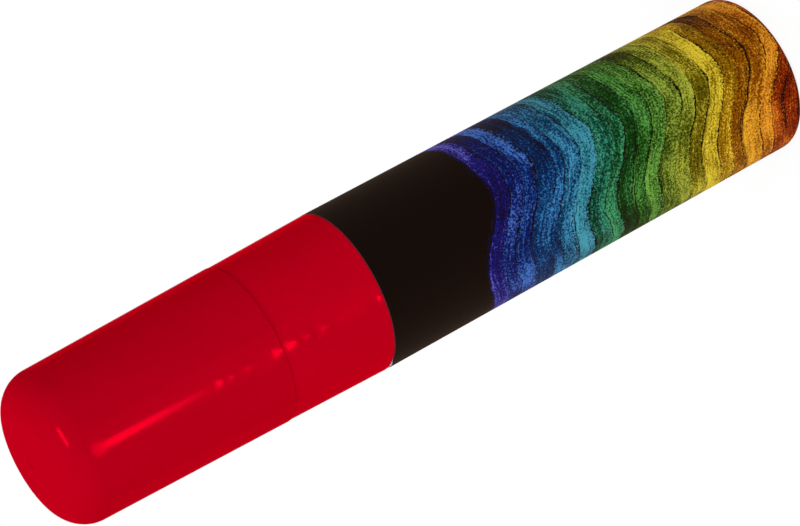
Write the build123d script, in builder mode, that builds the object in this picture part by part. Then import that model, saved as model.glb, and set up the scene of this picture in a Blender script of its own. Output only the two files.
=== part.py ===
from build123d import *
import math
import os

# A jumbo liquid chalk marker with a push valve, capped and standing on its tail, in millimetres.
# The axis is +Z, the origin is the centre of the tail and the cap's crown is at the top.

# Barrel, its printed sleeve and its tail plug
barrel_length = 85.5
barrel_radius = 13.85
barrel_wall = 1.7
press_lead_in = 0.3
tail_edge_radius = 1.2
sleeve_thickness = 0.15
sleeve_front_gap = 0.1
sleeve_wrap_angle = 55
plug_length = 9.0
plug_thickness = 2.2
plug_wall = 1.4
plug_rim_width = 2.4
plug_dish_depth = 0.5
plug_corner_radius = 0.6

# Red collar and the gasket on its spigot
collar_length = 18.75
collar_setback = 0.03
collar_taper = 0.42
collar_edge_radius = 0.15
spigot_length = 15.0
spigot_lead_in = 0.5
gasket_depth = 0.9
gasket_width = 1.6
gasket_inset = 4.0

# Cap
cap_length = 39.74
cap_step = 0.1
cap_taper = 0.78
cap_wall = 1.35
cap_roof = 1.5
cap_edge_radius = 0.15
crown_rise = 0.28
crown_corner_radius = 5.5
seam_gap = 0.06
gate_radius = 0.7
gate_depth = 0.12
groove_depth = 0.15
groove_width = 1.4
rib_count = 6
rib_depth = 0.58
rib_width = 1.2
rib_length = 12.0
rib_top_gap = 8.0

# Liner inside the cap
inner_cap_wall = 1.0
inner_cap_roof = 1.2
inner_cap_corner_margin = 0.65
inner_cap_rim_gap = 1.2

# Nib holder
nose_length = 7.0
neck_edge_radius = 0.6
nose_wall = 1.2
nose_edge_radius = 0.8
bead_width = 0.8
bead_height_share = 0.43
chamber_margin = 0.35
holder_wall = 1.3
holder_lip = 2.0
snap_depth = 0.3
snap_width = 0.8

# Felt nib
nib_length = 27.0
nib_reach = 9.0
nib_headroom = 7.0
nib_thickness = 7.0
nib_corner_radius = 0.7
nib_bevel_height = 5.0
nib_edge_width = 2.2

# Valve
press_travel = 2.5
pusher_thickness = 1.8
pusher_end_inset = 2.0
pusher_side_inset = 1.0
pusher_room = 4.5
rod_radius = 1.7
rod_flange_thickness = 2.0
rod_tail = 0.5
seat_thickness = 3.5
seat_flow_gap = 0.9
seat_lip_inset = 0.3
seat_lip_width = 0.8
seat_lip_height = 1.4
washer_thickness = 1.5
washer_margin = 0.5
case_flange_thickness = 2.2
case_wall = 1.0
case_floor = 1.5
case_flow_gap = 0.8
window_count = 4
window_width = 3.0
window_height = 7.0
window_sill = 1.5
spring_length = 14.0
spring_turns = 7
spring_rod_gap = 1.0
wire_diameter = 0.6

# Mixing balls
ball_radius = 3.5
ball_lane_share = 0.485

# Clearances, and the overrun of every cut
press_clearance = 0.03
cap_clearance = 0.2
bead_clearance = 0.06
rib_clearance = 0.05
nose_clearance = 0.15
nib_clearance = 0.2
guide_clearance = 0.15
rest_clearance = 0.05
overrun = 1.0

# Radii, from the sleeve inwards
sleeve_radius = barrel_radius + sleeve_thickness
bore_radius = barrel_radius - barrel_wall
plug_radius = bore_radius - press_clearance
plug_bore_radius = plug_radius - plug_wall
spigot_radius = bore_radius - press_clearance
collar_base_radius = sleeve_radius - collar_setback
collar_front_radius = collar_base_radius - collar_taper
cap_rim_radius = collar_front_radius + cap_step
crown_radius = cap_rim_radius - cap_taper
cap_bore_radius = cap_rim_radius - cap_wall
cap_cavity_radius = crown_radius - cap_wall
neck_radius = cap_bore_radius - cap_clearance
bead_radius = cap_bore_radius - bead_clearance
inner_cap_radius = cap_cavity_radius - rib_depth - rib_clearance
inner_cap_bore_radius = inner_cap_radius - inner_cap_wall
cavity_corner_radius = crown_corner_radius - cap_wall
inner_cap_corner_radius = cavity_corner_radius + inner_cap_corner_margin
nose_radius = inner_cap_bore_radius - nose_clearance
socket_corner_radius = nose_radius - nose_wall
chamber_radius = socket_corner_radius + chamber_margin
holder_radius = chamber_radius + holder_wall
collar_bore_radius = holder_radius + press_clearance
seat_radius = chamber_radius - press_clearance
gasket_floor_radius = spigot_radius - gasket_depth

# Radii of the valve, from its rod outwards
guide_radius = rod_radius + guide_clearance
seat_hole_radius = rod_radius + seat_flow_gap
lip_radius = seat_hole_radius + seat_lip_inset
lip_outer_radius = lip_radius + seat_lip_width
rod_flange_radius = lip_outer_radius + washer_margin
case_bore_radius = rod_flange_radius + case_flow_gap
case_radius = case_bore_radius + case_wall
wire_radius = wire_diameter / 2
spring_radius = rod_radius + spring_rod_gap + wire_radius

# The nib is as wide as its round nose leaves room for
socket_thickness = nib_thickness + 2 * nib_clearance
socket_width = 2 * math.sqrt(socket_corner_radius**2 - (socket_thickness / 2) ** 2)
nib_width = socket_width - 2 * nib_clearance
pusher_length = nib_width - 2 * pusher_end_inset
pusher_width = nib_thickness - 2 * pusher_side_inset

# Heights, from the tail to the crown and then from the crown down to the valve
spigot_bottom = barrel_length - spigot_length
gasket_bottom = spigot_bottom + gasket_inset
seam = barrel_length + collar_length
cap_rim = seam + seam_gap
cap_top = cap_rim + cap_length
crown_edge = cap_top - crown_rise
cap_ceiling = crown_edge - cap_roof
inner_ceiling = cap_ceiling - inner_cap_roof
nib_tip = inner_ceiling - nib_headroom
nose_top = nib_tip - nib_reach
neck_top = nose_top - nose_length
bead_middle = seam + bead_height_share * (neck_top - seam)
inner_cap_rim = neck_top + inner_cap_rim_gap
nib_base = nib_tip - nib_length
pusher_bottom = nib_base - pusher_thickness
seat_top = pusher_bottom - press_travel - pusher_room
seat_bottom = seat_top - seat_thickness
washer_top = seat_bottom - seat_lip_height - rest_clearance
washer_bottom = washer_top - washer_thickness
rod_flange_bottom = washer_bottom - rod_flange_thickness
case_flange_bottom = seat_bottom - case_flange_thickness
snap_top = case_flange_bottom - press_clearance
holder_bottom = case_flange_bottom - holder_lip
case_floor_top = rod_flange_bottom - spring_length
case_bottom = case_floor_top - case_floor
rod_bottom = case_bottom - rod_tail


def half_section(*corners):
    """A closed outline of (radius, height) corners on one side of the axis."""
    with BuildSketch(Plane.XZ) as section:
        with BuildLine():
            Polyline(*corners, close=True)
        make_face()
    return section.sketch


def ring_section(inner, outer, bottom, top):
    """The outline of a plain ring or, with no inner radius, of a disc."""
    return half_section((inner, bottom), (outer, bottom), (outer, top), (inner, top))


def round_edges(part, height, radius):
    """The round edges of a part at one height and of one radius."""
    circles = part.edges().filter_by(GeomType.CIRCLE)
    level = circles.filter_by(lambda edge: math.isclose(edge.center().Z, height, abs_tol=1e-6))
    return level.filter_by(lambda edge: math.isclose(edge.radius, radius, abs_tol=1e-6))


# Barrel: a plain tube with a rounded tail edge
with BuildPart() as barrel:
    revolve(ring_section(bore_radius, barrel_radius, 0, barrel_length), axis=Axis.Z)
    fillet(round_edges(barrel, 0, barrel_radius), tail_edge_radius)
    chamfer(round_edges(barrel, barrel_length, bore_radius), press_lead_in)

# Sleeve: film on the barrel, turned in part of the way round the tail edge
with BuildPart() as label_sleeve:
    sleeve_front = barrel_length - sleeve_front_gap
    with BuildSketch(Plane.XZ):
        with BuildLine():
            turn_centre = (barrel_radius - tail_edge_radius, tail_edge_radius)
            outside = CenterArc(turn_centre, tail_edge_radius + sleeve_thickness, 0, -sleeve_wrap_angle)
            inside = CenterArc(turn_centre, tail_edge_radius, 0, -sleeve_wrap_angle)
            Line(outside @ 1, inside @ 1)
            front = Line((sleeve_radius, sleeve_front), (barrel_radius, sleeve_front))
            Line(outside @ 0, front @ 0)
            Line(inside @ 0, front @ 1)
        make_face()
    revolve(axis=Axis.Z)

# Tail plug: a cup with a dished outer face, so the marker stands on its rim
with BuildPart() as tail_plug:
    revolve(ring_section(0, plug_radius, 0, plug_length), axis=Axis.Z)
    cup = ring_section(0, plug_bore_radius, plug_thickness, plug_length + overrun)
    revolve(cup, axis=Axis.Z, mode=Mode.SUBTRACT)
    dish = ring_section(0, plug_radius - plug_rim_width, -overrun, plug_dish_depth)
    revolve(dish, axis=Axis.Z, mode=Mode.SUBTRACT)
    fillet(round_edges(tail_plug, plug_thickness, plug_bore_radius), plug_corner_radius)
    chamfer(round_edges(tail_plug, plug_length, plug_radius), press_lead_in)

# Collar: a short cone over a spigot, which has a groove for the gasket
with BuildPart() as grip_collar:
    collar_outline = half_section(
        (collar_bore_radius, spigot_bottom),
        (spigot_radius, spigot_bottom),
        (spigot_radius, barrel_length),
        (collar_base_radius, barrel_length),
        (collar_front_radius, seam),
        (collar_bore_radius, seam),
    )
    revolve(collar_outline, axis=Axis.Z)
    fillet(round_edges(grip_collar, seam, collar_front_radius), collar_edge_radius)
    chamfer(round_edges(grip_collar, spigot_bottom, spigot_radius), spigot_lead_in)
    gasket_top = gasket_bottom + gasket_width
    gasket_groove = ring_section(gasket_floor_radius, spigot_radius + overrun, gasket_bottom, gasket_top)
    revolve(gasket_groove, axis=Axis.Z, mode=Mode.SUBTRACT)

# Gasket: fills its groove and meets the barrel's bore
with BuildPart() as seal_ring:
    gasket = ring_section(gasket_floor_radius, bore_radius - press_clearance, gasket_bottom, gasket_top)
    revolve(gasket, axis=Axis.Z)

# Nib holder: tube for the valve, neck and bead for the cap, nose and socket for the nib
with BuildPart() as nib_holder:
    holder_outline = half_section(
        (0, holder_bottom),
        (holder_radius, holder_bottom),
        (holder_radius, seam),
        (neck_radius, seam),
        (neck_radius, neck_top),
        (nose_radius, neck_top),
        (nose_radius, nose_top),
        (0, nose_top),
    )
    revolve(holder_outline, axis=Axis.Z)
    fillet(round_edges(nib_holder, neck_top, neck_radius), neck_edge_radius)
    fillet(round_edges(nib_holder, nose_top, nose_radius), nose_edge_radius)
    bead = half_section(
        (neck_radius - bead_width, bead_middle - bead_width),
        (neck_radius, bead_middle - bead_width),
        (bead_radius, bead_middle),
        (neck_radius, bead_middle + bead_width),
        (neck_radius - bead_width, bead_middle + bead_width),
    )
    revolve(bead, axis=Axis.Z)
    valve_room = half_section(
        (0, holder_bottom - overrun),
        (chamber_radius, holder_bottom - overrun),
        (chamber_radius, snap_top - snap_width),
        (chamber_radius - snap_depth, snap_top - snap_width / 2),
        (chamber_radius, snap_top),
        (chamber_radius, seat_top),
        (0, seat_top),
    )
    revolve(valve_room, axis=Axis.Z, mode=Mode.SUBTRACT)
    with BuildSketch(Plane.XY.offset(seat_top)):
        Rectangle(socket_width, socket_thickness)
    extrude(amount=nose_top + overrun - seat_top, mode=Mode.SUBTRACT)

# Nib: a felt block with one bevelled side
with BuildPart() as nib:
    with BuildSketch(Plane.XY.offset(nib_base)):
        RectangleRounded(nib_width, nib_thickness, nib_corner_radius)
    extrude(amount=nib_length)
    nib_back = -nib_thickness / 2
    with BuildSketch(Plane.YZ):
        with BuildLine():
            Polyline(
                (nib_back, nib_tip - nib_bevel_height),
                (nib_thickness / 2 - nib_edge_width, nib_tip),
                (nib_thickness / 2 - nib_edge_width, nib_tip + overrun),
                (nib_back - overrun, nib_tip + overrun),
                (nib_back - overrun, nib_tip - nib_bevel_height),
                close=True,
            )
        make_face()
    extrude(amount=nib_width, both=True, mode=Mode.SUBTRACT)

# Valve seat: a disc with a sealing lip round its hole
with BuildPart() as valve_seat:
    revolve(ring_section(seat_hole_radius, seat_radius, seat_bottom, seat_top), axis=Axis.Z)
    lip_bottom = seat_bottom - seat_lip_height
    revolve(ring_section(lip_radius, lip_outer_radius, lip_bottom, seat_bottom), axis=Axis.Z)

# Valve case: a slotted cup that hangs under the seat and holds the spring
with BuildPart() as valve_case:
    case_outline = half_section(
        (guide_radius, case_bottom),
        (case_radius, case_bottom),
        (case_radius, case_flange_bottom),
        (seat_radius, case_flange_bottom),
        (seat_radius, seat_bottom),
        (case_bore_radius, seat_bottom),
        (case_bore_radius, case_floor_top),
        (guide_radius, case_floor_top),
    )
    revolve(case_outline, axis=Axis.Z)
    with BuildSketch(Plane.XY.offset(case_floor_top + window_sill)):
        with PolarLocations(case_radius - case_wall / 2, window_count):
            Rectangle(case_wall + overrun, window_width)
    extrude(amount=window_height, mode=Mode.SUBTRACT)

# Valve rod: a plunger with a pusher under the nib and a flange on the spring
with BuildPart() as valve_rod:
    revolve(ring_section(0, rod_radius, rod_bottom, pusher_bottom), axis=Axis.Z)
    revolve(ring_section(0, rod_flange_radius, rod_flange_bottom, washer_bottom), axis=Axis.Z)
    with BuildSketch(Plane.XY.offset(pusher_bottom)):
        Rectangle(pusher_length, pusher_width)
    extrude(amount=pusher_thickness)

# Valve washer: soft ring on the rod's flange, which closes on the seat's lip
with BuildPart() as valve_washer:
    washer_hole_radius = rod_radius + press_clearance
    revolve(ring_section(washer_hole_radius, rod_flange_radius, washer_bottom, washer_top), axis=Axis.Z)

# Valve spring: one unbroken coil between the case's floor and the rod's flange
with BuildPart() as valve_spring:
    spring_foot = case_floor_top + rest_clearance + wire_radius
    spring_rise = spring_length - wire_diameter - 2 * rest_clearance
    spring_pitch = spring_rise / spring_turns
    with BuildLine() as coil:
        Helix(spring_pitch, spring_rise, spring_radius, center=(0, 0, spring_foot))
    with BuildSketch(Plane(origin=coil.line @ 0, z_dir=coil.line % 0)):
        Circle(wire_radius)
    sweep(is_frenet=True)

# Mixing balls: loose side by side on the plug
ball_height = plug_thickness + rest_clearance + ball_radius
ball_lane = ball_lane_share * plug_bore_radius
with BuildPart() as mixing_ball_left:
    with Locations((-ball_lane, 0, ball_height)):
        Sphere(ball_radius)
with BuildPart() as mixing_ball_right:
    with Locations((ball_lane, 0, ball_height)):
        Sphere(ball_radius)

# Cap: a tapered shell with a gently domed crown, a snap groove and ribs that centre the liner
with BuildPart() as cap_shell:
    dome_radius = (crown_radius**2 + crown_rise**2) / (2 * crown_rise)
    with BuildSketch(Plane.XZ):
        with BuildLine():
            Polyline((0, cap_top), (0, cap_rim), (cap_rim_radius, cap_rim), (crown_radius, crown_edge))
            RadiusArc((crown_radius, crown_edge), (0, cap_top), -dome_radius)
        make_face()
    revolve(axis=Axis.Z)
    fillet(round_edges(cap_shell, crown_edge, crown_radius), crown_corner_radius)
    fillet(round_edges(cap_shell, cap_rim, cap_rim_radius), cap_edge_radius)
    mouth = ring_section(0, cap_bore_radius, cap_rim - overrun, inner_cap_rim)
    revolve(mouth, axis=Axis.Z, mode=Mode.SUBTRACT)
    with BuildSketch(Plane.XZ):
        with BuildLine():
            cavity_share = (inner_cap_rim - cap_rim) / (crown_edge - cap_rim)
            cavity_foot_radius = cap_bore_radius - cap_taper * cavity_share
            FilletPolyline(
                (0, inner_cap_rim),
                (cavity_foot_radius, inner_cap_rim),
                (cap_cavity_radius, cap_ceiling),
                (0, cap_ceiling),
                radius=[0, cavity_corner_radius],
            )
            Line((0, cap_ceiling), (0, inner_cap_rim))
        make_face()
    revolve(axis=Axis.Z, mode=Mode.SUBTRACT)
    groove_bottom = bead_middle - groove_width / 2
    groove = ring_section(0, cap_bore_radius + groove_depth, groove_bottom, groove_bottom + groove_width)
    revolve(groove, axis=Axis.Z, mode=Mode.SUBTRACT)
    rib_inner_radius = inner_cap_radius + rib_clearance
    rib_outer_radius = cap_cavity_radius + cap_wall / 2
    with BuildSketch(Plane.XY.offset(cap_ceiling - rib_top_gap - rib_length)):
        with PolarLocations((rib_inner_radius + rib_outer_radius) / 2, rib_count):
            Rectangle(rib_outer_radius - rib_inner_radius, rib_width)
    extrude(amount=rib_length)
    with Locations((0, 0, cap_top)):
        Cylinder(gate_radius, 2 * gate_depth, mode=Mode.SUBTRACT)

# Liner: a cup that hangs from the cap's ceiling and closes round the nose
with BuildPart() as inner_cap:
    revolve(ring_section(0, inner_cap_radius, inner_cap_rim, cap_ceiling), axis=Axis.Z)
    fillet(round_edges(inner_cap, cap_ceiling, inner_cap_radius), inner_cap_corner_radius)
    with BuildSketch(Plane.XZ):
        with BuildLine():
            FilletPolyline(
                (0, inner_cap_rim),
                (inner_cap_bore_radius, inner_cap_rim),
                (inner_cap_bore_radius, inner_ceiling),
                (0, inner_ceiling),
                radius=[0, inner_cap_corner_radius - inner_cap_wall],
            )
            Line((0, inner_ceiling), (0, inner_cap_rim))
        make_face()
    revolve(axis=Axis.Z, mode=Mode.SUBTRACT)

pieces = {
    "barrel": barrel,
    "label_sleeve": label_sleeve,
    "tail_plug": tail_plug,
    "grip_collar": grip_collar,
    "seal_ring": seal_ring,
    "nib_holder": nib_holder,
    "nib": nib,
    "valve_seat": valve_seat,
    "valve_case": valve_case,
    "valve_rod": valve_rod,
    "valve_washer": valve_washer,
    "valve_spring": valve_spring,
    "mixing_ball_left": mixing_ball_left,
    "mixing_ball_right": mixing_ball_right,
    "cap_shell": cap_shell,
    "inner_cap": inner_cap,
}

os.makedirs("parts", exist_ok=True)
for name, piece in pieces.items():
    piece.part.label = name
    export_step(piece.part, f"parts/{name}.step")

print(f"marker {cap_top:.2f} long, {2 * sleeve_radius:.2f} across, nib {nib_width:.2f} wide")
print(f"spring gap between turns {spring_pitch - wire_diameter:.2f}")
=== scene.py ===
import math

import bmesh
import bpy
from mathutils import Matrix, Vector


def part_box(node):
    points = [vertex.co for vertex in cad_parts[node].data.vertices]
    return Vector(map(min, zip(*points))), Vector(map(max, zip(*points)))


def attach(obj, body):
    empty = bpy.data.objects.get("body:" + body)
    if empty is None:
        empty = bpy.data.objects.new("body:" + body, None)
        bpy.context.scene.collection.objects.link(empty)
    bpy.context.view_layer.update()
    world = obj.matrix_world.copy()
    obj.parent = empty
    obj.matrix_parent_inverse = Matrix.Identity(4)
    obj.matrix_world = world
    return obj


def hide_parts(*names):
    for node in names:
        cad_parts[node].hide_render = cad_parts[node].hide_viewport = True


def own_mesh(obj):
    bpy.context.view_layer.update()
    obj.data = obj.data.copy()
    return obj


# A jumbo liquid chalk marker, capped and standing on its tail. Metres, with the axis along +Z
# and the tail at height 0, as in the frame.

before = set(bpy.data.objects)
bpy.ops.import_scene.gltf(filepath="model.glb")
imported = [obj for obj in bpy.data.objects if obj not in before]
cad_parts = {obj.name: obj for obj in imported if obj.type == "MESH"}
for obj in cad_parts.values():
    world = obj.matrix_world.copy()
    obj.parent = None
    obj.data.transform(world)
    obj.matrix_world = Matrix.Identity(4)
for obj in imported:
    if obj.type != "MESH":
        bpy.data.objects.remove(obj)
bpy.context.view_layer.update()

MM = 0.001
ROUND_STEPS = 192
SAME_PLACE = 0.01 * MM
MERGE_REACH = 0.001 * MM
CRISP_ANGLE = math.radians(40)


def reach(node):
    """A round node's radius, its foot and its top."""
    low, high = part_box(node)
    return high.x, low.z, high.z


# Sizes that the frame gives
barrel_radius, tail, barrel_front = reach("barrel")
sleeve_radius, *_ = reach("label_sleeve")
collar_base_radius, spigot_foot, seam = reach("grip_collar")
plug_radius, plug_face, plug_top = reach("tail_plug")
bead_radius, holder_foot, nose_top = reach("nib_holder")
inner_cap_radius, inner_cap_rim, cap_ceiling = reach("inner_cap")
*_, cap_top = reach("cap_shell")
nib_half_width, nib_base, nib_tip = reach("nib")
spring_reach, spring_foot, spring_top = reach("valve_spring")

# Barrel, sleeve and plug
bore_radius = barrel_radius - 1.7 * MM
press_lead_in = 0.3 * MM
tail_edge_radius = 1.2 * MM
sleeve_wrap = math.radians(55)
film_front = barrel_front - 0.01 * MM
sleeve_turn_steps = 6
notch_depth = 1.3 * MM
notch_turn = math.radians(-182)
notch_sharpness = 26
plug_bore_radius = plug_radius - 1.4 * MM
plug_thickness = 2.2 * MM
plug_dish_radius = plug_radius - 2.4 * MM
plug_dish_depth = 0.5 * MM
plug_edge_radius = 0.15 * MM
plug_corner_radius = 0.6 * MM

# Collar
spigot_radius = bore_radius - 0.03 * MM
collar_front_radius = collar_base_radius - 0.42 * MM
gasket_floor_radius = spigot_radius - 0.9 * MM
gasket_foot = spigot_foot + 4.0 * MM
gasket_top = gasket_foot + 1.6 * MM
collar_edge_radius = 0.10 * MM
collar_base_edge_radius = 0.10 * MM
collar_bore_edge_radius = 0.15 * MM
spigot_chamfer = 0.5 * MM

# Cap and its liner
cap_rim = seam + 0.01 * MM
cap_rim_radius = collar_front_radius + 0.1 * MM
crown_radius = cap_rim_radius - 0.78 * MM
crown_rise = 0.28 * MM
crown_edge = cap_top - crown_rise
crown_corner_radius = 5.5 * MM
shoulder = crown_edge - crown_corner_radius
dome_margin = 0.2 * MM
dome_shares = (0.3, 0.55, 0.8, 1.0)
cap_edge_radius = 0.10 * MM
cap_wall = 1.35 * MM
cap_bore_radius = cap_rim_radius - cap_wall
cap_cavity_radius = crown_radius - cap_wall
cavity_corner_radius = crown_corner_radius - cap_wall
groove_depth = 0.15 * MM
groove_width = 1.4 * MM
gate_radius = 1.0 * MM
gate_depth = 0.12 * MM
gate_edge_radius = 0.08 * MM
rib_count = 6
rib_width = 1.2 * MM
rib_length = 12.0 * MM
rib_top = cap_ceiling - 8.0 * MM
rib_inner_radius = inner_cap_radius + 0.05 * MM
rib_outer_radius = cap_cavity_radius + cap_wall / 2
inner_cap_wall = 1.0 * MM
inner_cap_bore_radius = inner_cap_radius - inner_cap_wall
inner_ceiling = cap_ceiling - 1.2 * MM
inner_cap_corner_radius = cavity_corner_radius + 0.65 * MM
inner_cap_lip_radius = 0.25 * MM
inner_cap_edge_radius = 0.15 * MM

# Nib holder and nib
neck_radius = cap_bore_radius - 0.2 * MM
neck_top = nose_top - 7.0 * MM
neck_edge_radius = 0.6 * MM
bead_width = 0.8 * MM
bead_height_share = 0.43
bead_middle = seam + bead_height_share * (neck_top - seam)
bead_edge_radius = 0.3 * MM
nose_radius = inner_cap_bore_radius - 0.15 * MM
nose_flat_radius = nose_radius - 0.85 * MM
nose_edge_radius = 0.8 * MM
nose_fillet_radius = 0.3 * MM
socket_corner_radius = nose_radius - 1.2 * MM
socket_half_thickness = 3.7 * MM
socket_half_width = math.sqrt(socket_corner_radius**2 - socket_half_thickness**2)
chamber_radius = socket_corner_radius + 0.35 * MM
chamber_top = nib_base - 8.8 * MM
chamber_mouth_radius = socket_corner_radius + 0.1 * MM
snap_middle = holder_foot + 1.57 * MM
snap_depth = 0.3 * MM
holder_radius = chamber_radius + 1.3 * MM
collar_bore_radius = holder_radius + 0.03 * MM
nib_half_thickness = 3.5 * MM
nib_corner_radius = 0.7 * MM
nib_bevel_height = 5.0 * MM
nib_edge_width = 2.2 * MM
nib_wear_radius = 0.25 * MM
nib_wear_angle = math.radians(30)

# Spring
wire_radius = 0.3 * MM
spring_turns = 7
turn_steps = 36


# Finishes


def paint(red, green, blue):
    """A colour as a screen shows it, 0 to 255, made linear."""
    shares = [channel / 255 for channel in (red, green, blue)]
    linear = [s / 12.92 if s <= 0.04045 else ((s + 0.055) / 1.055) ** 2.4 for s in shares]
    return (*linear, 1.0)


# Chalk strokes of the sleeve's print, in millimetres, and their colours from the tail to the front
stroke_width = 3.0
print_length = 62.0
broad_wave = 3.2
narrow_wave = 0.9
wobble_height = 1.4
chalk_colours = [
    (0.00, paint(226, 120, 36)),
    (0.12, paint(228, 160, 40)),
    (0.26, paint(228, 196, 49)),
    (0.38, paint(158, 168, 56)),
    (0.50, paint(92, 156, 66)),
    (0.64, paint(60, 148, 108)),
    (0.78, paint(66, 142, 190)),
    (0.90, paint(52, 112, 186)),
    (1.00, paint(112, 100, 206)),
]


class Signal:
    """A shader socket that takes part in Python expressions."""

    def __init__(self, finish, socket):
        self.finish = finish
        self.socket = socket

    def beside(self, output):
        """Another output of the same node."""
        return Signal(self.finish, self.socket.node.outputs[output])

    def __add__(self, other):
        return self.finish.maths("ADD", self, other)

    def __radd__(self, other):
        return self.finish.maths("ADD", other, self)

    def __sub__(self, other):
        return self.finish.maths("SUBTRACT", self, other)

    def __rsub__(self, other):
        return self.finish.maths("SUBTRACT", other, self)

    def __mul__(self, other):
        return self.finish.maths("MULTIPLY", self, other)

    def __rmul__(self, other):
        return self.finish.maths("MULTIPLY", other, self)

    def __truediv__(self, other):
        return self.finish.maths("DIVIDE", self, other)


class Finish:
    """The nodes of one material, round its Principled shader."""

    def __init__(self, name, tree_owner=None):
        self.owner = tree_owner or bpy.data.materials.new(name)
        self.owner.use_nodes = True
        self.tree = self.owner.node_tree
        self.tree.nodes.clear()

    def node(self, kind, settings=None, inputs=None, output=0):
        """Adds a node: its settings first, then the values or links of its sockets."""
        made = self.tree.nodes.new(kind)
        for key, value in (settings or {}).items():
            if key == "stops":
                self.set_stops(made.color_ramp, value)
            else:
                setattr(made, key, value)
        self.connect(made, inputs or {})
        return Signal(self, made.outputs[output]) if made.outputs else made

    def set_stops(self, ramp, stops):
        """Gives a ramp its stops, as (place, colour)."""
        while len(ramp.elements) < len(stops):
            ramp.elements.new(1.0)
        for element, (place, colour) in zip(ramp.elements, stops):
            element.position = place
            element.color = colour

    def connect(self, made, inputs):
        """Links signals to a node's sockets, and sets the other values."""
        for key, value in inputs.items():
            socket = made.inputs[key]
            if isinstance(value, Signal):
                self.tree.links.new(value.socket, socket)
            else:
                socket.default_value = value

    def maths(self, operation, *values):
        """A Math node on values."""
        return self.node("ShaderNodeMath", {"operation": operation}, dict(enumerate(values)))

    def spot(self):
        """The point on the piece, in millimetres along its three axes."""
        place = self.node("ShaderNodeTexCoord", output="Object")
        first = self.node("ShaderNodeSeparateXYZ", inputs={0: place})
        return [axis * 1000 for axis in (first, first.beside("Y"), first.beside("Z"))]

    def noise(self, x, y, z, detail=2.0, roughness=0.5):
        """Soft noise between 0 and 1 at a point."""
        point = self.node("ShaderNodeCombineXYZ", inputs={0: x, 1: y, 2: z})
        sockets = {"Vector": point, "Scale": 1.0, "Detail": detail, "Roughness": roughness}
        return self.node("ShaderNodeTexNoise", inputs=sockets)

    def step(self, value, low, high):
        """0 below low and 1 above high, with a smooth rise between them."""
        sockets = {"Value": value, "From Min": low, "From Max": high}
        return self.node("ShaderNodeMapRange", {"interpolation_type": "SMOOTHSTEP"}, sockets)

    def mix(self, share, first, second, blend="MIX"):
        """Two colours mixed by a share."""
        settings = {"data_type": "RGBA", "blend_type": blend}
        return self.node("ShaderNodeMix", settings, {0: share, 6: first, 7: second}, output=2)

    def bump(self, height):
        """A normal from a height in millimetres."""
        sockets = {"Strength": 1.0, "Distance": MM, "Height": height}
        return self.node("ShaderNodeBump", inputs=sockets)

    def surface(self, **sockets):
        """Ends the tree in a Principled shader with these sockets, and gives the material."""
        named = {key.replace("_", " "): value for key, value in sockets.items()}
        shader = self.node("ShaderNodeBsdfPrincipled", inputs=named)
        self.node("ShaderNodeOutputMaterial", inputs={"Surface": shader})
        return self.owner


# Pale line along the film's cut front edge, in millimetres
cut_line = 0.11

# Reds between which each of the two red mouldings varies. The cap's are darker than the collar's, as painted
# shade on the cap
cap_shaded_reds = paint(162, 0, 21), paint(172, 0, 23)
collar_reds = paint(168, 0, 22), paint(178, 0, 24)

# Painted shade under the seam, on the collar where the cap's rim overhangs it: its width in millimetres
seam_shade_width = 1.3

# Shallow waves in the two red mouldings, which break the highlight. Each has its height above the seam
# in millimetres, its share of the lean that would mirror the strip lamp there, and its radius in millimetres
cap_waves = [
    (34.5, 0.55, 1.5),
    (11.5, 0.55, 2.0),
    (9.5, 0.75, 1.2),
    (6.5, 0.40, 1.5),
    (1.0, 0.80, 2.8),
]
collar_waves = [
    (-1.5, 0.80, 3.0),
    (-4.5, 1.05, 1.3),
    (-7.5, 0.60, 1.7),
    (-18.0, 0.85, 1.4),
]
wave_stretch = 1.5

# Outer lines of the two red walls, each from its foot to its top as radius and height
cap_line = (cap_rim_radius, cap_rim), (crown_radius, crown_edge)
collar_line = (collar_base_radius, barrel_front), (collar_front_radius, seam)
highlight_rounds = 4


def highlight(line, height):
    """Where the strip lamp's highlight crosses a height of a red wall, and the lean that is missing there.

    The place is a turn from the front. With the lean, a slope up the wall, the strip's middle is mirrored.
    """
    (foot_radius, foot), (top_radius, top) = line
    taper = (foot_radius - top_radius) / (top - foot)
    radius = foot_radius - taper * (height - foot)
    wall_lean = taper + max(0, height - shoulder) / crown_corner_radius
    turn = 0
    for _ in range(highlight_rounds):
        spot = Vector((radius * math.sin(turn), -radius * math.cos(turn), height))
        halfway = (camera_place - spot).normalized() + (strip_place - spot).normalized()
        turn = math.atan2(halfway.x, -halfway.y)
    return turn, halfway.z / halfway.xy.length - wall_lean


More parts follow.
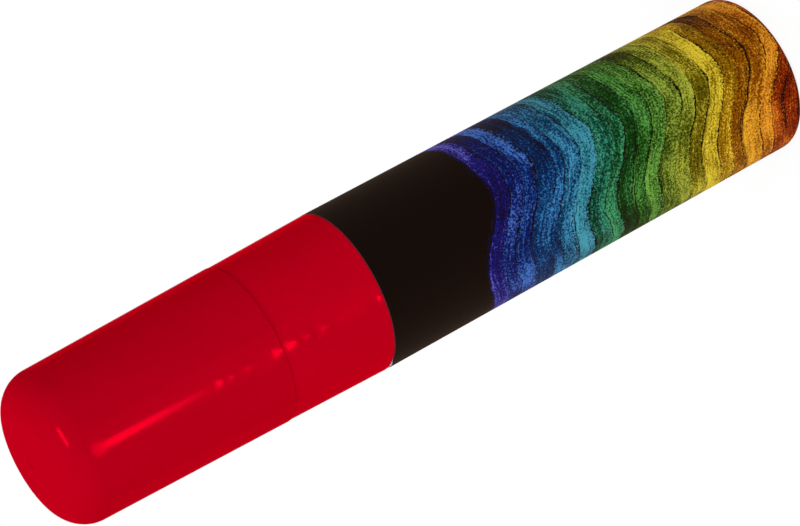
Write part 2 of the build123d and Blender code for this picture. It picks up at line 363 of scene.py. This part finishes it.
def red_plastic(name, reds, line, waves):
    """Glossy red moulding whose highlights stay red, with shallow waves and painted shade along the seam."""
    finish = Finish(name)
    x, y, z = finish.spot()
    # Random tone between the two reds, which for the cap are darker as painted shade
    tone = finish.noise(x * 0.09, y * 0.09, z * 0.05, detail=3.0)
    colour = finish.mix(tone, *reds)
    haze = finish.noise(x * 1.4, y * 1.4, z * 0.5, detail=4.0)
    past_shoulder = z - shoulder / MM
    frost = finish.step(past_shoulder, -2.8, 0.2) * (1 - finish.step(past_shoulder, 1.2, 2.2))
    height = finish.noise(x * 2.4, y * 2.4, z * 2.4) * 0.0008
    around = finish.maths("ARCTAN2", x, y * -1) * (collar_front_radius / MM)
    above = z - seam / MM
    for wave_above, lean_share, radius in waves:
        turn, lean = highlight(line, seam + wave_above * MM)
        aside = around - turn * collar_front_radius / MM
        up = above - wave_above
        length = up / wave_stretch
        away = finish.maths("SQRT", aside * aside + length * length)
        height = height - (1 - finish.step(away, 0.0, radius)) * up * (lean * lean_share)
    # Painted shade: a dark band mixed into the base colour along the seam, mostly on the collar side and
    # stronger towards +X
    from_seam = finish.maths("MAXIMUM", above * -1, above * 8)
    seam_shade = (1 - finish.step(from_seam, 0.0, seam_shade_width)) * (finish.step(x, -10.0, 2.0) * 0.07 + 0.05)
    return finish.surface(
        Base_Color=finish.mix(seam_shade, colour, paint(60, 0, 8)),
        Roughness=haze * 0.10 + frost * 0.12 + 0.09,
        Metallic=0.15,
        Specular_IOR_Level=0.0,
        Specular_Tint=(1.0, 0.02, 0.06, 1.0),
        Sheen_Weight=0.16,
        Sheen_Roughness=0.25,
        Sheen_Tint=(1.0, 0.0, 0.04, 1.0),
        Normal=finish.bump(height),
    )


def sleeve_print():
    """Black printed film with wavy chalk strokes in rainbow order behind a plain front."""
    finish = Finish("sleeve_print")
    x, y, z = finish.spot()
    turn = finish.maths("ARCTAN2", x, y * -1)
    broad = finish.maths("SINE", turn * 2 + 0.3) * broad_wave
    narrow = finish.maths("SINE", turn * 5 + 1.0) * narrow_wave
    wobble = (finish.noise(x * 0.3, y * 0.3, z * 0.3) - 0.5) * wobble_height
    across = z + broad + narrow + wobble
    grain = finish.noise(x * 3.2, y * 3.2, z * 3.2, detail=2.0, roughness=0.7)
    uneven = finish.noise(across * 0.22, 0.0, 0.0) * 1.6
    lane = (across + (grain - 0.5) * 1.1) / stroke_width + uneven
    number = finish.maths("FLOOR", lane)
    level = finish.node("ShaderNodeTexWhiteNoise", {"noise_dimensions": "1D"}, {"W": number})
    from_edge = (0.5 - finish.maths("ABSOLUTE", finish.maths("FRACT", lane) - 0.5)) * stroke_width
    streak = finish.noise(x * 0.12, y * 0.12, across * 3.0, detail=3.0, roughness=0.6)
    pressure = finish.noise(x * 0.14, y * 0.14, across * 0.3)
    dry = finish.step(finish.maths("SINE", turn + level * 25), 0.6, 1.0)
    place = (number - uneven + level * 0.8) * stroke_width / print_length
    rainbow = finish.node("ShaderNodeValToRGB", {"stops": chalk_colours}, {0: place})
    shade = finish.mix(1.0, rainbow, rainbow, blend="MULTIPLY")
    deep = finish.mix(0.68, shade, (0, 0, 0, 1))
    dust = (streak - 0.5) * 0.5 + (pressure - 0.5) * 0.5 + (level - 0.5) * 0.2 - dry * 0.12
    speck = finish.step(grain + dust, 0.40, 0.74)
    chalk = finish.mix(speck, deep, rainbow)
    edge = finish.step(from_edge + (streak - 0.5) * 1.6 + (grain - 0.5) * 0.8, -0.05, 0.25)
    bare = 1 - finish.step(grain + dust, 0.22, 0.36)
    front = 1 - finish.step(place, 0.99, 1.01)
    cover = front * edge * (1 - bare * 0.9)
    colour = finish.mix(cover, paint(18, 10, 7), chalk)
    cut_edge = 1 - finish.step(film_front / MM - z, cut_line * 0.45, cut_line)
    scuff = finish.noise(x * 0.8, y * 0.8, z * 0.2, detail=4.0)
    ripple = finish.noise(x * 0.12, y * 0.12, z * 0.05)
    return finish.surface(
        Base_Color=finish.mix(cut_edge, colour, paint(98, 40, 52)),
        Roughness=scuff * 0.12 + 0.36,
        Specular_IOR_Level=0.0,
        Sheen_Weight=0.055,
        Sheen_Roughness=0.48,
        Sheen_Tint=(1.0, 0.66, 0.48, 1.0),
        Normal=finish.bump(ripple * 0.05 + cover * 0.004),
    )


def moulded_plastic(name, light, dark, roughness):
    """Plain moulding with faint flow marks and a fine eroded grain."""
    finish = Finish(name)
    x, y, z = finish.spot()
    flow = finish.noise(x * 0.2, y * 0.2, z * 0.06, detail=3.0)
    grain = finish.noise(x * 4.0, y * 4.0, z * 4.0)
    return finish.surface(
        Base_Color=finish.mix(flow, light, dark),
        Roughness=flow * 0.12 + roughness,
        Normal=finish.bump(grain * 0.006),
    )


def nib_felt():
    """Pressed felt: fibres along the nib, with pale tufts and open pores, which are set lower and painted
    darker as shade.
    """
    finish = Finish("nib_felt")
    x, y, z = finish.spot()
    fibre = finish.noise(x * 3.6, y * 3.6, z * 0.6, detail=5.0, roughness=0.7)
    tuft = finish.noise(x * 0.7, y * 0.7, z * 0.25)
    # Pores: set lower by the bump and painted darker, as painted shade in them
    pore = finish.step(finish.noise(x * 2.2, y * 2.2, z * 1.1, detail=3.0, roughness=0.7), 0.30, 0.44)
    pale = finish.mix(fibre * 0.7 + tuft * 0.3, paint(204, 198, 186), paint(246, 242, 232))
    return finish.surface(
        Base_Color=finish.mix(pore, paint(168, 160, 148), pale),
        Roughness=fibre * 0.1 + 0.86,
        Normal=finish.bump(fibre * 0.16 + pore * 0.06),
        Sheen_Weight=0.3,
    )


def soft_rubber():
    """Dark gasket rubber with a dusty bloom."""
    finish = Finish("soft_rubber")
    x, y, z = finish.spot()
    bloom = finish.noise(x * 0.8, y * 0.8, z * 0.8, detail=4.0)
    return finish.surface(
        Base_Color=finish.mix(bloom, paint(24, 24, 25), paint(52, 51, 50)),
        Roughness=bloom * 0.2 + 0.6,
        Normal=finish.bump(bloom * 0.01),
    )


def bright_steel(name, roughness):
    """Drawn or rolled steel with fine scratches."""
    finish = Finish(name)
    x, y, z = finish.spot()
    scratch = finish.noise(x * 6.0, y * 6.0, z * 1.2, detail=4.0)
    return finish.surface(
        Base_Color=finish.mix(scratch, paint(176, 178, 180), paint(214, 215, 216)),
        Metallic=1.0,
        Roughness=scratch * 0.15 + roughness,
        Normal=finish.bump(scratch * 0.002),
    )


# Ways of making a piece


def turned(bm, outline, closed=False):
    """Turns an outline of (radius, height) corners round the axis."""
    corners = [bm.verts.new((radius, 0, height)) for radius, height in outline]
    sides = [bm.edges.new(pair) for pair in zip(corners, corners[1:])]
    if closed:
        sides.append(bm.edges.new((corners[-1], corners[0])))
    bmesh.ops.spin(
        bm,
        geom=corners + sides,
        cent=(0, 0, 0),
        axis=(0, 0, 1),
        angle=math.tau,
        steps=ROUND_STEPS,
        use_merge=True,
    )
    bmesh.ops.remove_doubles(bm, verts=bm.verts, dist=MERGE_REACH)
    bmesh.ops.recalc_face_normals(bm, faces=bm.faces)


def ring_edges(bm, radius, height):
    """The edges of one ring round the axis."""

    def on_ring(vert):
        off = math.hypot(vert.co.x, vert.co.y) - radius
        return abs(off) < SAME_PLACE and abs(vert.co.z - height) < SAME_PLACE

    return [edge for edge in bm.edges if all(on_ring(vert) for vert in edge.verts)]


def rounded(bm, radius, height, size, steps):
    """Rounds a ring's edge, or with one step chamfers it."""
    bmesh.ops.bevel(
        bm,
        geom=ring_edges(bm, radius, height),
        offset=size,
        offset_type="OFFSET",
        affect="EDGES",
        segments=steps,
        profile=0.5,
        material=-1,
    )


def piece(bm, name, body, node, finish):
    """Makes a mesh the piece that stands for a node, with smooth sides and crisp edges."""
    mesh = bpy.data.meshes.new(name)
    bm.to_mesh(mesh)
    bm.free()
    mesh.materials.append(finish)
    mesh.shade_smooth()
    mesh.set_sharp_from_angle(angle=CRISP_ANGLE)
    made = bpy.data.objects.new(name, mesh)
    bpy.context.scene.collection.objects.link(made)
    weighted = made.modifiers.new("true_normals", "WEIGHTED_NORMAL")
    weighted.keep_sharp = True
    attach(made, body)
    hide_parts(node)
    return made


# The pieces


def red_cap(finish):
    """Tapered shell with a domed crown and its gate mark, a snap groove and ribs for the liner."""
    dome_reach = crown_radius - crown_corner_radius - dome_margin
    dome_radii = [dome_reach * share for share in dome_shares]
    dome = [(radius, cap_top - crown_rise * (radius / crown_radius) ** 2) for radius in dome_radii]
    groove_foot = bead_middle - groove_width / 2
    groove_top = bead_middle + groove_width / 2
    groove_radius = cap_bore_radius + groove_depth
    cavity_share = (inner_cap_rim - cap_rim) / (crown_edge - cap_rim)
    cavity_foot_radius = cap_bore_radius - (cap_rim_radius - crown_radius) * cavity_share
    bm = bmesh.new()
    turned(
        bm,
        [
            (0, cap_top - gate_depth),
            (gate_radius, cap_top - gate_depth),
            (gate_radius, cap_top),
            *dome,
            (crown_radius, crown_edge),
            (cap_rim_radius, cap_rim),
            (cap_bore_radius, cap_rim),
            (cap_bore_radius, groove_foot),
            (groove_radius, groove_foot),
            (groove_radius, groove_top),
            (cap_bore_radius, groove_top),
            (cap_bore_radius, inner_cap_rim),
            (cavity_foot_radius, inner_cap_rim),
            (cap_cavity_radius, cap_ceiling),
            (0, cap_ceiling),
        ],
    )
    rounded(bm, crown_radius, crown_edge, crown_corner_radius, 18)
    rounded(bm, cap_rim_radius, cap_rim, cap_edge_radius, 6)
    rounded(bm, cap_cavity_radius, cap_ceiling, cavity_corner_radius, 10)
    rounded(bm, gate_radius, cap_top, gate_edge_radius, 3)
    rib_depth = rib_outer_radius - rib_inner_radius
    rib_size = Matrix.Diagonal((rib_depth, rib_width, rib_length, 1))
    rib_place = Matrix.Translation((rib_inner_radius + rib_depth / 2, 0, rib_top - rib_length / 2))
    for number in range(rib_count):
        around = Matrix.Rotation(math.tau * number / rib_count, 4, "Z")
        bmesh.ops.create_cube(bm, size=1, matrix=around @ rib_place @ rib_size)
    return piece(bm, "red_cap", "cap", "cap_shell", finish)


def cap_liner(finish):
    """Cup inside the cap that closes round the nose."""
    bm = bmesh.new()
    turned(
        bm,
        [
            (0, cap_ceiling),
            (inner_cap_radius, cap_ceiling),
            (inner_cap_radius, inner_cap_rim),
            (inner_cap_bore_radius, inner_cap_rim),
            (inner_cap_bore_radius, inner_ceiling),
            (0, inner_ceiling),
        ],
    )
    rounded(bm, inner_cap_radius, cap_ceiling, inner_cap_corner_radius, 10)
    rounded(bm, inner_cap_bore_radius, inner_ceiling, inner_cap_corner_radius - inner_cap_wall, 10)
    rounded(bm, inner_cap_bore_radius, inner_cap_rim, inner_cap_lip_radius, 3)
    rounded(bm, inner_cap_radius, inner_cap_rim, inner_cap_edge_radius, 3)
    return piece(bm, "cap_liner", "cap", "inner_cap", finish)


def red_collar(finish):
    """Short cone in front of the sleeve, with a grooved spigot inside the barrel."""
    bm = bmesh.new()
    turned(
        bm,
        [
            (collar_bore_radius, spigot_foot),
            (spigot_radius, spigot_foot),
            (spigot_radius, gasket_foot),
            (gasket_floor_radius, gasket_foot),
            (gasket_floor_radius, gasket_top),
            (spigot_radius, gasket_top),
            (spigot_radius, barrel_front),
            (collar_base_radius, barrel_front),
            (collar_front_radius, seam),
            (collar_bore_radius, seam),
        ],
        closed=True,
    )
    rounded(bm, collar_front_radius, seam, collar_edge_radius, 8)
    rounded(bm, collar_base_radius, barrel_front, collar_base_edge_radius, 3)
    rounded(bm, collar_bore_radius, seam, collar_bore_edge_radius, 3)
    rounded(bm, spigot_radius, spigot_foot, spigot_chamfer, 1)
    return piece(bm, "red_collar", "barrel", "grip_collar", finish)


def printed_sleeve(finish):
    """Film round the barrel, turned in at the tail, with a front edge that falls back in one place."""
    turn_radius = barrel_radius - tail_edge_radius
    film_turn = tail_edge_radius + sleeve_radius - barrel_radius
    angles = [sleeve_wrap * number / sleeve_turn_steps for number in range(sleeve_turn_steps + 1)]

    def turn_in(radius, angle):
        return (turn_radius + radius * math.cos(angle), tail_edge_radius - radius * math.sin(angle))

    outside = [turn_in(film_turn, angle) for angle in reversed(angles)]
    inside = [turn_in(tail_edge_radius, angle) for angle in angles]
    front = [(sleeve_radius, film_front), (barrel_radius, film_front)]
    bm = bmesh.new()
    turned(bm, outside + front + inside, closed=True)
    for vert in bm.verts:
        if vert.co.z > film_front - SAME_PLACE:
            around = math.atan2(vert.co.y, vert.co.x) - notch_turn
            vert.co.z -= notch_depth * max(0, math.cos(around)) ** notch_sharpness
    return piece(bm, "printed_sleeve", "barrel", "label_sleeve", finish)


def barrel_tube(finish):
    """Tank tube, bare only in front of the sleeve and at its tail rim."""
    bm = bmesh.new()
    turned(
        bm,
        [
            (bore_radius, tail),
            (barrel_radius, tail),
            (barrel_radius, barrel_front),
            (bore_radius, barrel_front),
        ],
        closed=True,
    )
    rounded(bm, barrel_radius, tail, tail_edge_radius, 8)
    rounded(bm, bore_radius, barrel_front, press_lead_in, 1)
    return piece(bm, "barrel_tube", "barrel", "barrel", finish)


def tail_cup(finish):
    """Plug that closes the tail, with a dished face."""
    bm = bmesh.new()
    turned(
        bm,
        [
            (0, plug_face + plug_dish_depth),
            (plug_dish_radius, plug_face + plug_dish_depth),
            (plug_dish_radius, plug_face),
            (plug_radius, plug_face),
            (plug_radius, plug_top),
            (plug_bore_radius, plug_top),
            (plug_bore_radius, plug_thickness),
            (0, plug_thickness),
        ],
    )
    rounded(bm, plug_dish_radius, plug_face, plug_edge_radius, 3)
    rounded(bm, plug_radius, plug_face, plug_edge_radius, 3)
    rounded(bm, plug_bore_radius, plug_thickness, plug_corner_radius, 4)
    rounded(bm, plug_radius, plug_top, press_lead_in, 1)
    return piece(bm, "tail_cup", "barrel", "tail_plug", finish)


def slot_rim(bm, height):
    """The rim of the nib's slot at one height."""
    size = Matrix.Diagonal((socket_half_width, socket_half_thickness, 1, 1))
    place = Matrix.Translation((0, 0, height))
    corners = bmesh.ops.create_grid(bm, x_segments=1, y_segments=1, size=1, matrix=place @ size)["verts"]
    face = corners[0].link_faces[0]
    rim = face.edges[:]
    bmesh.ops.delete(bm, geom=[face], context="FACES_ONLY")
    return rim


def nib_neck(finish):
    """Neck with its snap bead, nose and the slot that the nib slides in."""
    bm = bmesh.new()
    turned(
        bm,
        [
            (nose_flat_radius, nose_top),
            (nose_radius, nose_top),
            (nose_radius, neck_top),
            (neck_radius, neck_top),
            (neck_radius, bead_middle + bead_width),
            (bead_radius, bead_middle),
            (neck_radius, bead_middle - bead_width),
            (neck_radius, seam),
            (holder_radius, seam),
            (holder_radius, holder_foot),
            (chamber_radius, holder_foot),
            (chamber_radius, snap_middle - snap_depth),
            (chamber_radius - snap_depth, snap_middle),
            (chamber_radius, snap_middle + snap_depth),
            (chamber_radius, chamber_top),
            (chamber_mouth_radius, chamber_top),
        ],
    )
    rounded(bm, nose_radius, nose_top, nose_edge_radius, 6)
    rounded(bm, neck_radius, neck_top, neck_edge_radius, 5)
    rounded(bm, nose_radius, neck_top, nose_fillet_radius, 3)
    rounded(bm, bead_radius, bead_middle, bead_edge_radius, 3)
    nose_rim = slot_rim(bm, nose_top)
    chamber_rim = slot_rim(bm, chamber_top)
    bmesh.ops.bridge_loops(bm, edges=ring_edges(bm, nose_flat_radius, nose_top) + nose_rim)
    bmesh.ops.bridge_loops(bm, edges=ring_edges(bm, chamber_mouth_radius, chamber_top) + chamber_rim)
    bmesh.ops.bridge_loops(bm, edges=nose_rim + chamber_rim)
    bmesh.ops.recalc_face_normals(bm, faces=bm.faces)
    return piece(bm, "nib_neck", "barrel", "nib_holder", finish)


def felt_nib(finish):
    """Felt block with rounded sides and one bevelled face."""
    nib_height = nib_tip - nib_base
    size = Matrix.Diagonal((2 * nib_half_width, 2 * nib_half_thickness, nib_height, 1))
    bm = bmesh.new()
    bmesh.ops.create_cube(bm, size=1, matrix=Matrix.Translation((0, 0, nib_base + nib_height / 2)) @ size)
    upright = [edge for edge in bm.edges if abs(edge.verts[0].co.z - edge.verts[1].co.z) > nib_height / 2]
    bmesh.ops.bevel(
        bm,
        geom=upright,
        offset=nib_corner_radius,
        offset_type="OFFSET",
        affect="EDGES",
        segments=6,
        profile=0.5,
        material=-1,
    )
    bevel_foot = Vector((0, -nib_half_thickness, nib_tip - nib_bevel_height))
    bevel_top = Vector((0, nib_half_thickness - nib_edge_width, nib_tip))
    slope = bevel_top - bevel_foot
    cut = bmesh.ops.bisect_plane(
        bm,
        geom=bm.verts[:] + bm.edges[:] + bm.faces[:],
        plane_co=bevel_foot,
        plane_no=(0, -slope.z, slope.y),
        clear_outer=True,
    )
    rim = [edge for edge in cut["geom_cut"] if isinstance(edge, bmesh.types.BMEdge)]
    bmesh.ops.holes_fill(bm, edges=rim, sides=0)
    bmesh.ops.recalc_face_normals(bm, faces=bm.faces)
    worn = [edge for edge in bm.edges if edge.calc_face_angle(0) > nib_wear_angle]
    bmesh.ops.bevel(
        bm,
        geom=worn,
        offset=nib_wear_radius,
        offset_type="OFFSET",
        affect="EDGES",
        segments=3,
        profile=0.5,
        material=-1,
    )
    return piece(bm, "felt_nib", "nib", "nib", finish)


def valve_coil(finish):
    """Coil spring under the valve rod. The real spring shortens as the nib is pressed."""
    coil_radius = spring_reach - wire_radius
    coil_foot = spring_foot + wire_radius
    coil_rise = spring_top - spring_foot - 2 * wire_radius
    steps = spring_turns * turn_steps
    lean = math.atan2(coil_rise / spring_turns, math.tau * coil_radius)
    place = Matrix.Translation((coil_radius, 0, coil_foot)) @ Matrix.Rotation(math.pi / 2 + lean, 4, "X")
    bm = bmesh.new()
    wire = bmesh.ops.create_circle(bm, segments=14, radius=wire_radius, matrix=place)
    ends = bm.edges[:]
    bmesh.ops.spin(
        bm,
        geom=wire["verts"] + ends,
        cent=(0, 0, 0),
        axis=(0, 0, 1),
        dvec=(0, 0, coil_rise / steps),
        angle=math.tau * spring_turns,
        steps=steps,
    )
    bmesh.ops.holes_fill(bm, edges=[edge for edge in bm.edges if edge.is_boundary], sides=0)
    bmesh.ops.recalc_face_normals(bm, faces=bm.faces)
    made = piece(bm, "valve_coil", "barrel", "valve_spring", finish)
    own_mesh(made)
    return made


# The studio


def seen_share(finish):
    """1 where the camera, a reflection or a clear piece looks, 0 where light is gathered."""
    camera = finish.node("ShaderNodeLightPath", output="Is Camera Ray")
    mirrored = finish.maths("MAXIMUM", camera, camera.beside("Is Glossy Ray"))
    return finish.maths("MAXIMUM", mirrored, camera.beside("Is Transmission Ray"))


def studio_world(ambient):
    """Even soft light, with white where it is looked at."""
    world = bpy.data.worlds.new("studio")
    bpy.context.scene.world = world
    finish = Finish("studio", world)
    strength = seen_share(finish) * (1 - ambient) + ambient
    light = finish.node("ShaderNodeBackground", inputs={"Color": (1, 1, 1, 1), "Strength": strength})
    finish.node("ShaderNodeOutputWorld", inputs={"Surface": light})


def white_floor(half_width, drop, glow):
    """Plain pale floor just under the marker, which looks white and keeps a soft shadow."""
    bm = bmesh.new()
    bmesh.ops.create_grid(bm, x_segments=1, y_segments=1, size=half_width)
    mesh = bpy.data.meshes.new("white_floor")
    bm.to_mesh(mesh)
    bm.free()
    floor = bpy.data.objects.new("white_floor", mesh)
    floor.location.z = -drop
    bpy.context.scene.collection.objects.link(floor)
    finish = Finish("white_floor")
    matt = finish.node("ShaderNodeBsdfDiffuse", inputs={"Color": (0.86, 0.86, 0.86, 1)})
    white = finish.node("ShaderNodeEmission", inputs={"Strength": 1.0})
    both = finish.node("ShaderNodeMixShader", inputs={0: seen_share(finish) * glow, 1: matt, 2: white})
    finish.node("ShaderNodeOutputMaterial", inputs={"Surface": both})
    mesh.materials.append(finish.owner)


def lamp(name, place, aim, size, power, shape="RECTANGLE", lean=0.0, mirrored=True, soft=True):
    """Area lamp at a place, turned to a point. Lean turns it in its own plane.

    A mirrored lamp shows in glossy finishes, and a soft one lights matt finishes.
    """
    light = bpy.data.lights.new(name, "AREA")
    light.shape = shape
    light.size, light.size_y = size
    light.energy = power
    made = bpy.data.objects.new(name, light)
    made.location = place
    facing = (Vector(aim) - Vector(place)).to_track_quat("-Z", "Y").to_matrix()
    made.rotation_euler = (facing @ Matrix.Rotation(lean, 3, "Z")).to_euler()
    made.visible_camera = False
    made.visible_glossy = mirrored
    made.visible_diffuse = soft
    bpy.context.scene.collection.objects.link(made)


def photo_camera():
    """Long lens above and in front of the marker, rolled so that the cap is at the lower left."""
    data = bpy.data.cameras.new("photo_camera")
    data.sensor_width = 36
    data.lens = camera_lens
    made = bpy.data.objects.new("photo_camera", data)
    tilt = Matrix.Rotation(math.pi / 2 - camera_dip, 4, "X")
    roll = Matrix.Rotation(camera_roll, 4, "Z")
    made.matrix_world = Matrix.Translation(camera_place) @ tilt @ roll
    bpy.context.scene.collection.objects.link(made)
    bpy.context.scene.camera = made


# The photo's camera, as fitted to the marker's outline
camera_lens = 142.50
camera_place = Vector((-0.153, -464.283, 284.098)) * MM
camera_dip = math.radians(24.334)
camera_roll = math.radians(-118.539)

# The lamp that makes the long highlight of the red wall
strip_place = Vector((-0.0905, -0.183, 0.0835))
strip_lean = math.radians(20)

# The marker, piece by piece
pale = moulded_plastic("barrel_plastic", paint(128, 134, 148), paint(112, 118, 132), 0.38)
white = moulded_plastic("holder_plastic", paint(222, 222, 217), paint(209, 210, 206), 0.30)
milky = moulded_plastic("liner_plastic", paint(226, 226, 220), paint(208, 209, 204), 0.42)
valve = moulded_plastic("valve_plastic", paint(214, 214, 208), paint(196, 197, 192), 0.40)
rubber = soft_rubber()
ball_steel = bright_steel("ball_steel", 0.12)

red_cap(red_plastic("cap_plastic", cap_shaded_reds, cap_line, cap_waves))
cap_liner(milky)
red_collar(red_plastic("collar_plastic", collar_reds, collar_line, collar_waves))
printed_sleeve(sleeve_print())
barrel_tube(pale)
tail_cup(pale)
nib_neck(white)
felt_nib(nib_felt())
valve_coil(bright_steel("spring_steel", 0.25))

# Nodes that keep their own shape
carried = {
    "seal_ring": rubber,
    "valve_washer": rubber,
    "valve_seat": valve,
    "valve_case": valve,
    "valve_rod": valve,
    "mixing_ball_left": ball_steel,
    "mixing_ball_right": ball_steel,
}
for node, finish in carried.items():
    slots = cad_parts[node].data.materials
    slots.clear()
    slots.append(finish)

middle = (0, 0, 0.08)
studio_world(ambient=0.20)
white_floor(half_width=3.0, drop=0.1 * MM, glow=0.90)
lamp("key", (-0.60, -1.05, 0.75), middle, size=(0.9, 0.7), power=5.35, mirrored=False)
lamp("overhead", (0.1, -0.1, 1.5), middle, size=(1.4, 1.4), power=18.5, mirrored=False)
lamp("side", (-1.2, 0.25, 0.6), middle, size=(0.6, 0.6), power=3.4, mirrored=False)
lamp("back", (0.3, 1.0, 0.9), middle, size=(0.6, 0.6), power=4.0, mirrored=False)
lamp("window", (0.166, -0.72, 1.086), (0, 0, 0.14), size=(0.50, 0.167), power=3.0)

# The long highlight of the red wall
lamp(
    "strip",
    strip_place,
    (0, 0, 0.13),
    size=(0.036, 0.043),
    power=0.040,
    shape="ELLIPSE",
    lean=strip_lean,
)

# Its faint end, and the bright rims at both sides of the red wall, all by mirroring alone
lamp(
    "strip_end",
    (-0.0985, -0.177, 0.055),
    (0, 0, 0.117),
    size=(0.003, 0.014),
    power=0.0004,
    shape="ELLIPSE",
    lean=strip_lean,
    soft=False,
)
lamp(
    "strip_tail",
    (-0.092, -0.1805, 0.034),
    (0, 0, 0.105),
    size=(0.040, 0.040),
    power=0.0026,
    shape="ELLIPSE",
    soft=False,
)
lamp(
    "glow",
    (-0.065, -0.191, 0.056),
    (0, 0, 0.112),
    size=(0.160, 0.100),
    power=0.017,
    shape="ELLIPSE",
    soft=False,
)
lamp(
    "upper_rim",
    (0.098, 0.163, 0.045),
    (0.0125, -0.004, 0.112),
    size=(0.105, 0.085),
    power=0.036,
    soft=False,
)
lamp(
    "lower_rim",
    (-0.140, 0.128, 0.045),
    (-0.012, -0.005, 0.112),
    size=(0.130, 0.085),
    power=0.017,
    soft=False,
)

photo_camera()

bpy.context.scene.view_settings.view_transform = "Standard"
